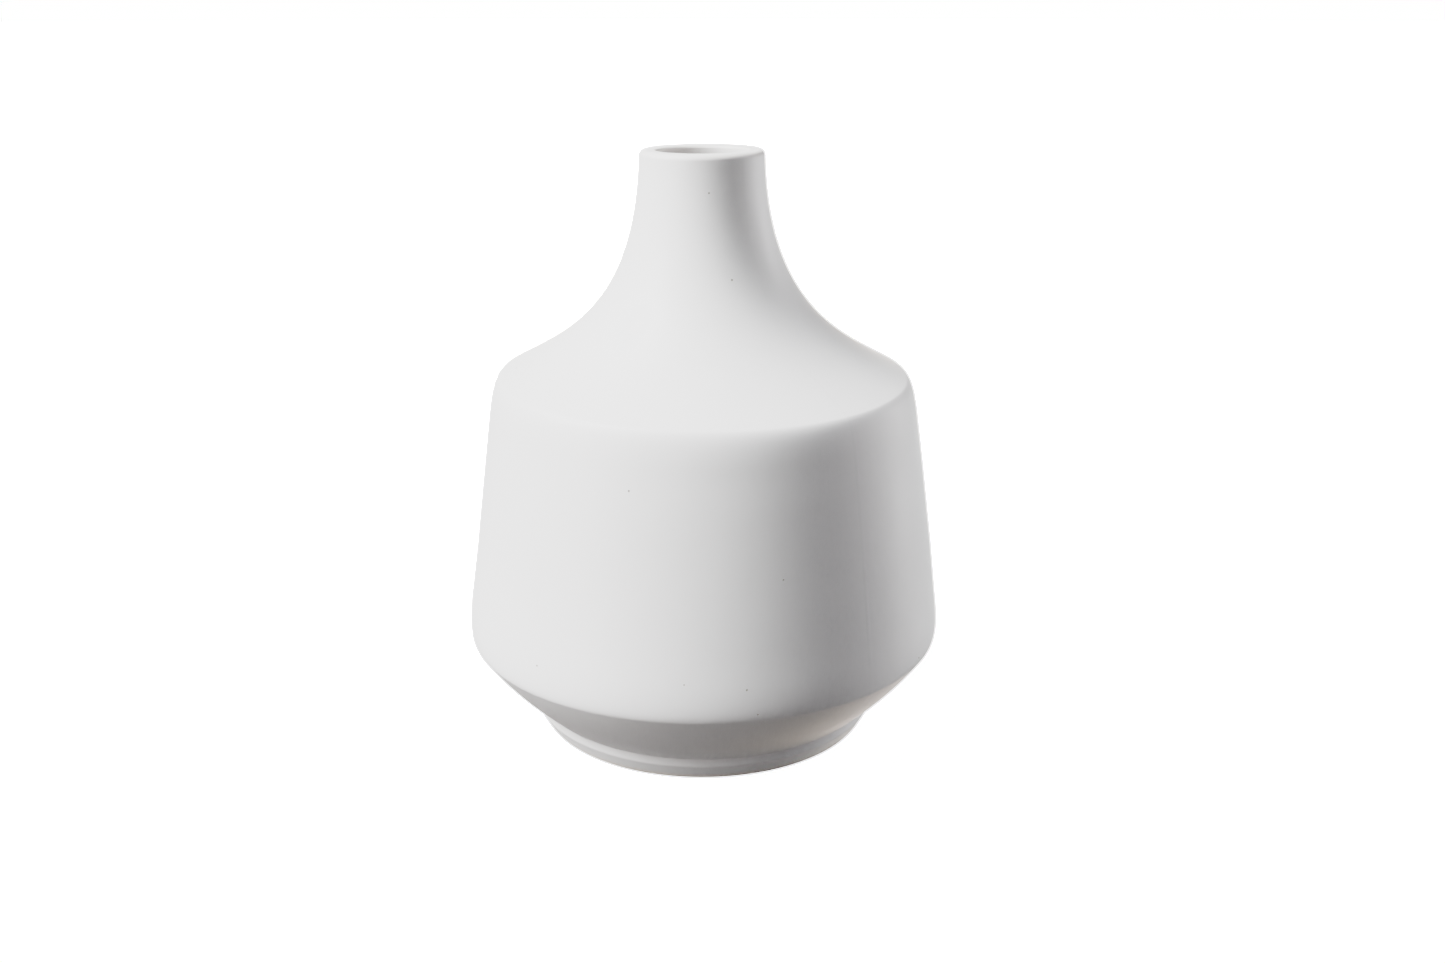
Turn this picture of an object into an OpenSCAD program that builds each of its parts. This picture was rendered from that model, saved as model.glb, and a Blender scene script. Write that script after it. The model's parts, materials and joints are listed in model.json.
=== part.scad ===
// Ceramic bud vase: one slip-cast clay body with its coats of glaze.
// Upright, +Z up, with the origin on its axis at the surface it stands on.

/* [Overall] */
// Height from the table to the top of the lip
height = 140; // [132:1:150]
// Thickness of the cast wall, glaze included
wall = 3.6; // [3:0.1:4.5]
// Thickness of each coat of glaze
glaze = 0.3; // [0.2:0.05:0.4]

/* [Foot] */
// Outer radius of the foot at the table
foot_r = 41; // [39.4:0.2:41.4]
// Outer radius of the foot's upright wall
foot_wall_r = 42.8; // [42.4:0.2:43.4]
// Height at which the foot's wall turns in under itself
turn_z = 4; // [3.4:0.1:4.4]
// Rounding of that turn
foot_round = 1.2; // [0.5:0.1:1.6]
// Height of the crease where the foot's wall meets the underside
crease_z = 6; // [5.6:0.1:6.8]
// Width of the ring that the vase stands on
ring_w = 5; // [4:0.2:7]
// Depth of the recess inside that ring
recess_z = 3; // [2:0.1:3.5]
// Rounding in the recess's corner
recess_round = 1.5; // [0.5:0.1:1.6]
// Rounding of the ring's bare edges
ring_round = 0.5; // [0.2:0.1:0.5]
// Height at which the glaze stops, so that the ring stays bare
glaze_line = 0.7; // [0.7:0.1:1.2]

/* [Body] */
// How far the underside's curve is pulled outwards between the crease and the belly
underside_bow = 1.5; // [0:0.1:2.5]
// Radius of the belly's corner, the widest place
belly_r = 58.8; // [58:0.2:60.4]
// Height of the belly's corner
belly_z = 24.2; // [24:0.1:26]
// How far up the wall the belly's turn starts
belly_ease = 8; // [5:0.5:10]
// How far down the underside the belly's turn ends
belly_turn = 1.8; // [1:0.2:3]
// Radius of the shoulder's corner
shoulder_r = 50.3; // [48.1:0.2:52.1]
// Height of the shoulder's corner
shoulder_z = 87; // [84:0.5:90]
// How far down the wall the shoulder's turn starts
shoulder_ease = 7.5; // [3:0.5:9]
// How far up the slope the shoulder's turn ends
shoulder_turn = 2; // [1:0.2:3]

/* [Neck] */
// Rise of the shoulder's slope above level, in degrees
slope_angle = 28; // [25:0.5:31]
// How far the slope runs on before it turns up into the neck
slope_reach = 20; // [15:0.5:24]
// How far down the neck stays nearly straight
neck_reach = 33; // [27:0.5:36]
// Lean of the neck's side at the lip, in degrees
neck_lean = 2; // [0:0.5:4]
// Outer radius of the lip
lip_r = 14.5; // [14:0.1:16]
// Rounding of the lip's outer edge
lip_round_out = 1.4; // [0.8:0.1:1.6]
// Rounding of the lip's inner edge
lip_round_in = 0.7; // [0.5:0.1:1]

/* [Inside] */
// Radius of the mouth's straight bore
bore_r = 10.7; // [9:0.1:11.2]
// Length of that straight bore
bore_length = 9; // [6:0.5:12]
// Thickness of the floor, glaze included
floor_t = 4.2; // [3.6:0.1:6]
// Rounding inside the shoulder
in_shoulder_round = 9; // [4:0.5:12]
// Rounding inside the belly
in_belly_round = 16; // [6:0.5:20]
// Rounding where the wall meets the floor
in_floor_round = 9; // [4:0.5:12]

/* [Hidden] */
$fn = 144;

CLAY_COLOUR = [0.86, 0.82, 0.76];
GLAZE_COLOUR = [0.93, 0.93, 0.92];
LINER_COLOUR = [0.90, 0.89, 0.87];
RECESS_COLOUR = [0.91, 0.90, 0.88];

// Steps in an arc, and in the long curve of the neck
ARC_STEPS = 8;
NECK_STEPS = 28;

// Corners of the outside, as [radius, height]
foot_turn = [foot_wall_r, turn_z];
crease = [foot_wall_r, crease_z];
belly = [belly_r, belly_z];
shoulder = [shoulder_r, shoulder_z];
knee = (crease + belly) / 2 - left_of(crease, belly) * underside_bow;
slope = [-cos(slope_angle), sin(slope_angle)];
lip_side = [lip_r, height - lip_round_out];
crest = [(lip_r - lip_round_out + bore_r + lip_round_in) / 2, height];

// Corners of the inside
floor_z = recess_z + floor_t;
bore_top = [bore_r, height - lip_round_in];
bore_end = bore_top - [0, bore_length];
in_shoulder = mitred(belly, shoulder, shoulder + slope, wall);
in_belly = mitred(crease, belly, shoulder, wall);
in_floor = [in_belly.x - (in_belly.y - floor_z) * (belly.x - crease.x) / (belly.y - crease.y), floor_z];

function unit(v) = v / norm(v);

// Left-hand normal of the line from a to b
function left_of(a, b) = unit([a.y - b.y, b.x - a.x]);

// Corner b moved to the left of both of its lines, a-b and b-c, by d
function mitred(a, b, c, d) =
    let (n1 = left_of(a, b), n2 = left_of(b, c))
    b + (n1 + n2) * d / (1 + n1 * n2);

// A path moved to its left by d
function shifted(path, d) =
    let (last = len(path) - 1)
    [for (i = [0:last])
        i == 0 ? path[0] + left_of(path[0], path[1]) * d :
        i == last ? path[last] + left_of(path[last - 1], path[last]) * d :
        mitred(path[i - 1], path[i], path[i + 1], d)];

function reversed(path) = [for (i = [len(path) - 1:-1:0]) path[i]];

// Arc that rounds corner b, which lies between a and c
function rounded(a, b, c, radius) =
    let (u = unit(a - b), v = unit(c - b), half = acos(u * v) / 2)
    let (start = b + u * radius / tan(half), centre = b + unit(u + v) * radius / sin(half))
    let (first = atan2(start.y - centre.y, start.x - centre.x))
    let (turn = sign(cross(b - a, c - b)) * (180 - 2 * half))
    [for (i = [0:ARC_STEPS])
        let (angle = first + turn * i / ARC_STEPS)
        centre + radius * [cos(angle), sin(angle)]];

// Curve from a to c, pulled towards b
function bowed(a, b, c) =
    [for (i = [0:ARC_STEPS])
        let (t = i / ARC_STEPS, s = 1 - t)
        s * s * a + 2 * s * t * b + t * t * c];

// Curve from a to d, with handles b and c
function curved(a, b, c, d) =
    [for (i = [0:NECK_STEPS])
        let (t = i / NECK_STEPS, s = 1 - t)
        s * s * s * a + 3 * s * s * t * b + 3 * s * t * t * c + t * t * t * d];

// Curve from the end of a slope up to a near-vertical neck
function neck_curve(low, high, reach, pull, lean) =
    curved(low, low + slope * reach, high + [sin(lean), -cos(lean)] * pull, high);

// A path without its first point
function rest_of(path) = [for (i = [1:len(path) - 1]) path[i]];

// Turn at corner b that starts a given way before it and ends a given way after it
function eased(a, b, c, before, after) = bowed(b + unit(a - b) * before, b, b + unit(c - b) * after);

// Outside surface, from the glaze line up to the crest of the lip
function outside_path() =
    let (belly_curve = eased(knee, belly, shoulder, belly_turn, belly_ease))
    let (shoulder_curve = eased(belly, shoulder, shoulder + slope, shoulder_ease, shoulder_turn))
    concat(
        [[foot_r, glaze_line]],
        rounded([foot_r, glaze_line], foot_turn, crease, foot_round),
        bowed(crease, knee, belly_curve[0]),
        rest_of(belly_curve),
        shoulder_curve,
        rest_of(neck_curve(shoulder_curve[ARC_STEPS], lip_side, slope_reach, neck_reach, neck_lean)),
        rest_of(rounded(lip_side, [lip_r, height], crest, lip_round_out)),
        [crest]);

// Inside surface, from just below the crest down to the middle of the floor
function inside_path() =
    let (turn = reversed(rounded(in_belly, in_shoulder, in_shoulder + slope, in_shoulder_round)))
    let (pull = neck_reach - bore_length, reach = slope_reach)
    concat(
        rounded(crest, [bore_r, height], bore_end, lip_round_in),
        reversed(neck_curve(turn[0], bore_end, reach, pull, 0)),
        rest_of(turn),
        rounded(in_shoulder, in_belly, in_floor, in_belly_round),
        rounded(in_belly, in_floor, [0, floor_z], in_floor_round),
        [[0, floor_z]]);

// Recess under the foot, from the axis out to the glaze line on the ring
function recess_path() =
    let (ring_in_r = foot_r - glaze - ring_w, room = recess_z - glaze_line - 0.2)
    concat(
        [[0, recess_z]],
        rounded([0, recess_z], [ring_in_r, recess_z], [ring_in_r, 0], min(recess_round, room)),
        [[ring_in_r, glaze_line]]);

outside = outside_path();
glazed = concat(outside, inside_path());
crest_at = len(outside) - 1;
last_at = len(glazed) - 1;
recess = recess_path();

// The glazed surface moved in to where the glaze meets the clay
under_glaze = shifted(glazed, glaze);
under_recess = shifted(recess, glaze);

function part_of(path, first, last) = [for (i = [first:last]) path[i]];

// Bare ring that the vase stands on, from its inner side to its outer side
function ring_path() =
    let (inner = under_recess[len(under_recess) - 1].x, outer = under_glaze[0].x)
    concat(
        rounded([inner, height], [inner, 0], [outer, 0], ring_round),
        rounded([inner, 0], [outer, 0], [outer, height], ring_round));

// A coat of glaze between a surface and the clay under it
module coat(surface, under) {
    rotate_extrude() polygon(concat(surface, reversed(under)));
}

module clay_body() {
    color(CLAY_COLOUR) rotate_extrude() polygon(concat(under_glaze, under_recess, ring_path()));
}

module outer_glaze() {
    color(GLAZE_COLOUR) coat(part_of(glazed, 0, crest_at), part_of(under_glaze, 0, crest_at));
}

module liner_glaze() {
    color(LINER_COLOUR) coat(part_of(glazed, crest_at, last_at), part_of(under_glaze, crest_at, last_at));
}

module foot_recess_glaze() {
    color(RECESS_COLOUR) coat(recess, under_recess);
}

clay_body();
outer_glaze();
liner_glaze();
foot_recess_glaze();
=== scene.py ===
"""The visual model of a ceramic bud vase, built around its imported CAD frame.

The vase is one slip-cast clay body with three coats of glaze: one outside, one inside, and one in the
recess under its foot. Each is a closed shell turned about the Z axis from a profile. Everything is in
metres, with the origin on the axis at the table. The camera looks along +Y, so azimuth 0 is the
right-hand side and -90 is the front.
"""

import json
import logging
import math
from dataclasses import asdict, dataclass, fields
from enum import Enum

import bpy
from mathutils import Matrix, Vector


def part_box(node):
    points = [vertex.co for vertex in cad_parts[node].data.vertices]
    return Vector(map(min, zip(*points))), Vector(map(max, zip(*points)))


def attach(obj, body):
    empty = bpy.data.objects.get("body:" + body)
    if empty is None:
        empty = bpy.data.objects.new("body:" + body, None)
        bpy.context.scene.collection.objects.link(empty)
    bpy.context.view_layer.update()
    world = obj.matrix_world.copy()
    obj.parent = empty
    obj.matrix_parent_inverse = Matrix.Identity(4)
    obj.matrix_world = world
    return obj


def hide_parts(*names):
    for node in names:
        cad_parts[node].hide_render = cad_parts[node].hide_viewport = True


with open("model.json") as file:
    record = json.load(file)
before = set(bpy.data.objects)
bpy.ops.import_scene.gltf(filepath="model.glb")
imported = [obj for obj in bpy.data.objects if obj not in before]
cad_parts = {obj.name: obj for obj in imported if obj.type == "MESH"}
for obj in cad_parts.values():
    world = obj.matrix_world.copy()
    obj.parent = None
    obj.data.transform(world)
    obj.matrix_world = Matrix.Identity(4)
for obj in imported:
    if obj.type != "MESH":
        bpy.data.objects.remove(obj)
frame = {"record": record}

LOG = logging.getLogger("bud_vase")
MM = 0.001

# Rows stand this close together at the ends of a curve, and at most this far apart along it
FINE_GAP = 0.2 * MM
WIDE_GAP = 1.5 * MM
GAP_GROWTH = 1.5

# Faces that meet at a sharper angle than this show an edge
EDGE_ANGLE = math.radians(35)

# Strips the height from a place, and leaves the way from the axis
LEVEL_ONLY = (1.0, 1.0, 0.0)

# The tree puts its nodes in rows of this many
NODES_IN_ROW = 12

Path = list[Vector]
Feed = bpy.types.NodeSocket | float | int | bool | tuple | str


# ---------------------------------------------------------------- profile curves


def spot(radius: float, height: float) -> Vector:
    """Returns a point of the profile at that radius and height."""
    return Vector((radius, height))


def left_of(start: Vector, end: Vector) -> Vector:
    """Returns the unit normal on the left of the line from start to end."""
    run = (end - start).normalized()
    return Vector((-run.y, run.x))


def mitred(before: Vector, corner: Vector, after: Vector, distance: float) -> Vector:
    """Moves a corner to the left of both of its lines.

    Args:
        before: Where the first line comes from.
        corner: Where the lines meet.
        after: Where the second line goes.
        distance: How far each line moves.

    Returns:
        The corner of the moved lines.
    """
    first = left_of(before, corner)
    second = left_of(corner, after)
    return corner + (first + second) * distance / (1 + first.dot(second))


def moved_left(path: Path, distance: float) -> Path:
    """Moves a whole path to its left, with mitred corners.

    Args:
        path: The points of the path.
        distance: How far it moves.

    Returns:
        As many points as the path has.
    """
    moved = [path[0] + left_of(path[0], path[1]) * distance]
    for before, corner, after in zip(path, path[1:], path[2:]):
        moved.append(mitred(before, corner, after, distance))
    moved.append(path[-1] + left_of(path[-2], path[-1]) * distance)
    return moved


def row_shares(length: float) -> list[float]:
    """Spaces rows along a length, close together at both of its ends.

    Args:
        length: How long the line or curve is.

    Returns:
        Shares of the length, from 0 to 1.
    """
    marks = [0.0]
    gap = FINE_GAP
    while marks[-1] + gap < length / 2:
        marks.append(marks[-1] + gap)
        gap = min(gap * GAP_GROWTH, WIDE_GAP)
    shares = [mark / length for mark in marks]
    return shares + [1 - share for share in reversed(shares)]


def straight(start: Vector, end: Vector) -> Path:
    """Returns the rows of a straight line from start to end."""
    return [start.lerp(end, share) for share in row_shares((end - start).length)]


def bowed(start: Vector, pull: Vector, end: Vector) -> Path:
    """Makes a shallow curve.

    Args:
        start: Where it starts.
        pull: The point that it bends towards.
        end: Where it ends.

    Returns:
        The rows of the curve.
    """
    rows = []
    for share in row_shares((end - start).length):
        rest = 1 - share
        rows.append(rest * rest * start + 2 * rest * share * pull + share * share * end)
    return rows


def swept(start: Vector, first: Vector, second: Vector, end: Vector) -> Path:
    """Makes a long curve with a handle at each end.

    Args:
        start: Where it starts.
        first: The handle at its start.
        second: The handle at its end.
        end: Where it ends.

    Returns:
        The rows of the curve.
    """
    rows = []
    for share in row_shares((end - start).length):
        rest = 1 - share
        near = rest * rest * rest * start + 3 * rest * rest * share * first
        rows.append(near + 3 * rest * share * share * second + share * share * share * end)
    return rows


def rounded(before: Vector, corner: Vector, after: Vector, radius: float, steps: int = 12) -> Path:
    """Rounds a corner with an arc.

    Args:
        before: A point on the line into the corner.
        corner: The sharp corner.
        after: A point on the line out of the corner.
        radius: The arc's radius.
        steps: How many steps the arc has.

    Returns:
        The rows of the arc.
    """
    inward = (before - corner).normalized()
    outward = (after - corner).normalized()
    half = math.acos(max(-1.0, min(1.0, inward.dot(outward)))) / 2
    start = corner + inward * radius / math.tan(half)
    centre = corner + (inward + outward).normalized() * radius / math.sin(half)
    side = (corner - before).cross(after - corner)
    turn = math.copysign(math.pi - 2 * half, side)
    first = math.atan2(start.y - centre.y, start.x - centre.x)
    angles = [first + turn * step / steps for step in range(steps + 1)]
    return [centre + radius * Vector((math.cos(angle), math.sin(angle))) for angle in angles]


def eased(before: Vector, corner: Vector, after: Vector, lead: float, trail: float, steps: int = 22) -> Path:
    """Turns a corner with a curve that may run on further on one side than on the other.

    Args:
        before: A point on the line into the corner.
        corner: The sharp corner.
        after: A point on the line out of the corner.
        lead: How far before the corner the turn starts.
        trail: How far after it the turn ends.
        steps: How many steps the turn has.

    Returns:
        The rows of the turn.
    """
    start = corner + (before - corner).normalized() * lead
    end = corner + (after - corner).normalized() * trail
    shares = [step / steps for step in range(steps + 1)]
    return [start * (1 - at) ** 2 + corner * 2 * at * (1 - at) + end * at**2 for at in shares]


def joined(*parts: Path) -> Path:
    """Joins paths end to end, and drops points that repeat.

    Args:
        parts: The paths, in order.

    Returns:
        One path.
    """
    path = []
    for part in parts:
        for point in part:
            if not path or (point - path[-1]).length > 0.02 * MM:
                path.append(point)
    return path


@dataclass(frozen=True)
class EdgeMark:
    """A ring on the glaze where it runs thin over an edge, or a crease that is painted darker as shade."""

    place: Vector
    reach: float
    strength: float

    def share(self, point: Vector) -> float:
        """Returns how much of the mark shows at a point of the profile, from 0 to 1."""
        return self.strength * math.exp(-(((point - self.place).length / self.reach) ** 2))


@dataclass(frozen=True)
class Outline:
    """The sizes of the vase's profile, in metres. The first six come from the frame."""

    height: float
    glaze_line: float
    floor_height: float
    recess_depth: float
    mouth_radius: float
    mouth_length: float
    coat: float = 0.3 * MM
    wall: float = 3.6 * MM
    foot_radius: float = 41.0 * MM
    foot_wall_radius: float = 42.8 * MM
    turn_height: float = 4.0 * MM
    foot_round: float = 1.2 * MM
    crease_height: float = 6.0 * MM
    crease_round: float = 0.25 * MM
    ring_width: float = 5.0 * MM
    recess_round: float = 1.5 * MM
    ring_round: float = 0.5 * MM
    underside_bow: float = 1.5 * MM
    belly_radius: float = 58.8 * MM
    belly_height: float = 24.2 * MM
    belly_ease: float = 8.0 * MM
    belly_turn: float = 1.8 * MM
    shoulder_radius: float = 50.3 * MM
    shoulder_height: float = 87.0 * MM
    shoulder_ease: float = 7.5 * MM
    shoulder_turn: float = 2.0 * MM
    slope_angle: float = math.radians(28)
    slope_reach: float = 20.0 * MM
    neck_reach: float = 33.0 * MM
    neck_lean: float = math.radians(2)
    lip_radius: float = 14.5 * MM
    lip_round_out: float = 1.4 * MM
    lip_round_in: float = 0.7 * MM
    in_shoulder_round: float = 9.0 * MM
    in_belly_round: float = 16.0 * MM
    in_floor_round: float = 9.0 * MM

    @classmethod
    def from_frame(cls) -> "Outline":
        """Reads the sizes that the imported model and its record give.

        Returns:
            The outline, with its other sizes as they stand.
        """
        outside_low, outside_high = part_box("outer_glaze")
        liner_low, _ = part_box("liner_glaze")
        _, recess_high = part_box("foot_recess_glaze")
        mouth = next(mount for mount in frame["record"]["mounts"] if mount["name"] == "mouth")
        return cls(
            height=outside_high.z,
            glaze_line=outside_low.z,
            floor_height=liner_low.z + cls.coat,
            recess_depth=recess_high.z - cls.coat,
            mouth_radius=mouth["dims"]["r_mm"] * MM,
            mouth_length=mouth["dims"]["length_mm"] * MM,
        )

    @property
    def foot_turn(self) -> Vector:
        """The corner where the foot's wall turns in under itself."""
        return spot(self.foot_wall_radius, self.turn_height)

    @property
    def crease(self) -> Vector:
        """The corner between the foot's wall and the underside."""
        return spot(self.foot_wall_radius, self.crease_height)

    @property
    def belly(self) -> Vector:
        """The belly's corner before it is rounded."""
        return spot(self.belly_radius, self.belly_height)

    @property
    def shoulder(self) -> Vector:
        """The shoulder's corner before it is rounded."""
        return spot(self.shoulder_radius, self.shoulder_height)

    @property
    def slope(self) -> Vector:
        """The direction of the shoulder's slope, up towards the neck."""
        return Vector((-math.cos(self.slope_angle), math.sin(self.slope_angle)))

    @property
    def crest(self) -> Vector:
        """The top of the lip, where the outer coat meets the liner."""
        outer = self.lip_radius - self.lip_round_out
        inner = self.mouth_radius + self.lip_round_in
        return spot((outer + inner) / 2, self.height)

    def neck(self, low: Vector, high: Vector, pull: float, lean: float) -> Path:
        """Makes the curve from the end of the slope up to the lip.

        Args:
            low: The end of the slope.
            high: The top of the curve.
            pull: How far down the neck stays nearly straight.
            lean: How far the neck leans out at its top, in radians.

        Returns:
            The rows of the curve, upwards.
        """
        handle = Vector((math.sin(lean), -math.cos(lean))) * pull
        return swept(low, low + self.slope * self.slope_reach, high + handle, high)

    def outside(self) -> Path:
        """Returns the glazed surface outside, from the glaze line up to the crest."""
        start = spot(self.foot_radius, self.glaze_line)
        knee = (self.crease + self.belly) / 2 - left_of(self.crease, self.belly) * self.underside_bow
        foot = rounded(start, self.foot_turn, self.crease, self.foot_round)
        crease = rounded(self.foot_turn, self.crease, knee, self.crease_round, 6)
        belly = eased(knee, self.belly, self.shoulder, self.belly_turn, self.belly_ease)
        slope_end = self.shoulder + self.slope
        shoulder = eased(self.belly, self.shoulder, slope_end, self.shoulder_ease, self.shoulder_turn)
        lip_side = spot(self.lip_radius, self.height - self.lip_round_out)
        lip = rounded(lip_side, spot(self.lip_radius, self.height), self.crest, self.lip_round_out, 14)
        return joined(
            straight(start, foot[0]),
            foot,
            straight(foot[-1], crease[0]),
            crease,
            bowed(crease[-1], knee, belly[0]),
            belly,
            straight(belly[-1], shoulder[0]),
            shoulder,
            self.neck(shoulder[-1], lip_side, self.neck_reach, self.neck_lean),
            lip,
            straight(lip[-1], self.crest),
        )

    def radius_at(self, height: float) -> float:
        """Finds how wide the vase is at a height.

        Args:
            height: The height above the table.

        Returns:
            The outer radius there.
        """
        path = self.outside()
        for low, high in zip(path, path[1:]):
            if low.y <= height < high.y:
                return low.lerp(high, (height - low.y) / (high.y - low.y)).x
        return self.foot_radius

    def inside(self) -> Path:
        """Returns the glazed surface inside, from the crest down to the middle of the floor."""
        bore_top = spot(self.mouth_radius, self.height - self.lip_round_in)
        bore_end = bore_top - Vector((0, self.mouth_length))
        slope_end = self.shoulder + self.slope
        in_shoulder = mitred(self.belly, self.shoulder, slope_end, self.wall)
        in_belly = mitred(self.crease, self.belly, self.shoulder, self.wall)
        run = (self.belly.x - self.crease.x) / (self.belly.y - self.crease.y)
        in_floor = spot(in_belly.x - (in_belly.y - self.floor_height) * run, self.floor_height)
        middle = spot(0, self.floor_height)
        lip = rounded(self.crest, spot(self.mouth_radius, self.height), bore_end, self.lip_round_in)
        turn = rounded(in_shoulder + self.slope, in_shoulder, in_belly, self.in_shoulder_round, 16)
        belly = rounded(in_shoulder, in_belly, in_floor, self.in_belly_round, 20)
        floor = rounded(in_belly, in_floor, middle, self.in_floor_round, 16)
        neck = self.neck(turn[0], bore_end, self.neck_reach - self.mouth_length, 0)
        return joined(
            straight(self.crest, lip[0]),
            lip,
            straight(lip[-1], bore_end),
            neck[::-1],
            turn,
            straight(turn[-1], belly[0]),
            belly,
            straight(belly[-1], floor[0]),
            floor,
            straight(floor[-1], middle),
        )

    def recess(self) -> Path:
        """Returns the glazed surface under the foot, from the axis out to the ring's glaze line."""
        inner = self.foot_radius - self.coat - self.ring_width
        corner = spot(inner, self.recess_depth)
        turn = rounded(spot(0, self.recess_depth), corner, spot(inner, 0), self.recess_round)
        return joined(
            straight(spot(0, self.recess_depth), turn[0]),
            turn,
            straight(turn[-1], spot(inner, self.glaze_line)),
        )

    def ring(self, inner: float, outer: float) -> Path:
        """Makes the bare ring that the vase stands on.

        Args:
            inner: The ring's inner radius.
            outer: The ring's outer radius.

        Returns:
            Its rows, from the inner side to the outer side.
        """
        near = rounded(spot(inner, self.height), spot(inner, 0), spot(outer, 0), self.ring_round, 8)
        far = rounded(spot(inner, 0), spot(outer, 0), spot(outer, self.height), self.ring_round, 8)
        return joined(near, straight(near[-1], far[0]), far)

    def thin_edges(self) -> list[EdgeMark]:
        """Returns the edges where the glaze runs thin and the clay's warmth shows through."""
        lip_turn = self.lip_round_out * 0.3
        return [
            EdgeMark(spot(self.lip_radius - lip_turn, self.height - lip_turn), 0.75 * MM, 0.75),
            EdgeMark(spot(self.mouth_radius + 0.1 * MM, self.height - 0.2 * MM), 0.6 * MM, 0.8),
            EdgeMark(spot(self.foot_radius, self.glaze_line), 0.8 * MM, 1.0),
            EdgeMark(spot(self.foot_radius - self.coat - self.ring_width, self.glaze_line), 0.8 * MM, 1.0),
        ]

    def pools(self) -> list[EdgeMark]:
        """Returns the creases that are painted darker grey, as painted crease shade."""
        inner = self.foot_radius - self.coat - self.ring_width
        return [
            EdgeMark(self.crease, 0.9 * MM, 1.0),
            EdgeMark(spot(inner - 0.4 * MM, self.recess_depth - 0.4 * MM), 1.2 * MM, 0.8),
        ]


# ---------------------------------------------------------------- node trees


class Bench:
    """A node tree being made: puts nodes in it and feeds their sockets."""

    def __init__(self, tree: bpy.types.NodeTree) -> None:
        """Starts on a tree.

        Args:
            tree: The tree to add to.
        """
        self.tree = tree

    def put(
        self, kind: str, feeds: dict[str | int, Feed] | None = None, **settings: object
    ) -> bpy.types.Node:
        """Adds a node.

        Args:
            kind: The node's type name.
            feeds: What each input takes, by name or place: a socket to join, or a value.
            settings: The node's own settings.

        Returns:
            The new node.
        """
        node = self.tree.nodes.new(kind)
        row, column = divmod(len(self.tree.nodes), NODES_IN_ROW)
        node.location = (190 * column, -240 * row)
        for name, value in settings.items():
            setattr(node, name, value)
        for key, value in (feeds or {}).items():
            self.feed(node.inputs[key], value)
        return node

    def feed(self, socket: bpy.types.NodeSocket, value: Feed) -> None:
        """Joins a socket to an input, or sets the input's value.

        Args:
            socket: The input.
            value: A socket or a plain value.
        """
        if isinstance(value, bpy.types.NodeSocket):
            self.tree.links.new(value, socket)
        else:
            socket.default_value = value

    def reckon(self, operation: str, *values: Feed, clamp: bool = False) -> bpy.types.NodeSocket:
        """Adds a Math node.

        Args:
            operation: Its operation.
            values: Its inputs, in order.
            clamp: Whether the result stays from 0 to 1.

        Returns:
            Its result.
        """
        feeds = dict(enumerate(values))
        return self.put("ShaderNodeMath", feeds, operation=operation, use_clamp=clamp).outputs[0]

    def vector(self, operation: str, *values: Feed) -> bpy.types.Node:
        """Returns a new Vector Math node with these inputs."""
        return self.put("ShaderNodeVectorMath", dict(enumerate(values)), operation=operation)

    def span(
        self, value: Feed, low: float, high: float, first: Feed = 0.0, last: Feed = 1.0
    ) -> bpy.types.NodeSocket:
        """Eases a value from one span to another.

        Args:
            value: The value.
            low: Where the span starts.
            high: Where it ends.
            first: The result at low.
            last: The result at high.

        Returns:
            The eased result.
        """
        feeds = {0: value, 1: low, 2: high, 3: first, 4: last}
        return self.put("ShaderNodeMapRange", feeds, interpolation_type="SMOOTHSTEP").outputs[0]

    def blend(self, share: Feed, first: Feed, second: Feed, how: str = "MIX") -> bpy.types.NodeSocket:
        """Mixes two colours.

        Args:
            share: How much of the second colour shows.
            first: The first colour.
            second: The second colour.
            how: The way of mixing.

        Returns:
            The mixed colour.
        """
        feeds = {"Factor": share, 6: first, 7: second}
        return self.put("ShaderNodeMix", feeds, data_type="RGBA", blend_type=how).outputs[2]

    def noise(
        self, where: Feed, scale: Feed, detail: float = 2.0, roughness: float = 0.5
    ) -> bpy.types.NodeSocket:
        """Adds a noise.

        Args:
            where: The coordinates.
            scale: How many times it varies in a metre.
            detail: Its number of finer layers.
            roughness: How strong those are.

        Returns:
            The noise, about 0 to 1.
        """
        feeds = {"Vector": where, "Scale": scale, "Detail": detail, "Roughness": roughness}
        return self.put("ShaderNodeTexNoise", feeds).outputs[0]

    def store(self, mesh: Feed, name: str, value: Feed) -> bpy.types.NodeSocket:
        """Keeps a value on a mesh's or cloud's points.

        Args:
            mesh: The mesh or points.
            name: The attribute's name.
            value: Its value at each point.

        Returns:
            The geometry with the attribute.
        """
        feeds = {0: mesh, "Name": name}
        kept = self.put("GeometryNodeStoreNamedAttribute", feeds, data_type="FLOAT", domain="POINT")
        self.feed(kept.inputs["Value"], value)
        return kept.outputs[0]

    def softened(self, mesh: Feed) -> bpy.types.NodeSocket:
        """Shades a mesh smooth, apart from its edges, and realizes it.

        Args:
            mesh: The mesh.

        Returns:
            The shaded mesh.
        """
        smooth = self.put("GeometryNodeSetShadeSmooth", {0: mesh}, domain="FACE")
        angle = self.put("GeometryNodeInputMeshEdgeAngle").outputs[0]
        soft = self.reckon("LESS_THAN", angle, EDGE_ANGLE)
        edged = self.put("GeometryNodeSetShadeSmooth", {0: smooth.outputs[0], 2: soft}, domain="EDGE")
        return self.put("GeometryNodeRealizeInstances", {0: edged.outputs[0]}).outputs[0]


SOCKETS = {
    "value": "NodeSocketFloat",
    "count": "NodeSocketInt",
    "vector": "NodeSocketVector",
    "colour": "NodeSocketColor",
    "finish": "NodeSocketMaterial",
    "mesh": "NodeSocketGeometry",
    "piece": "NodeSocketObject",
}


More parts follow.
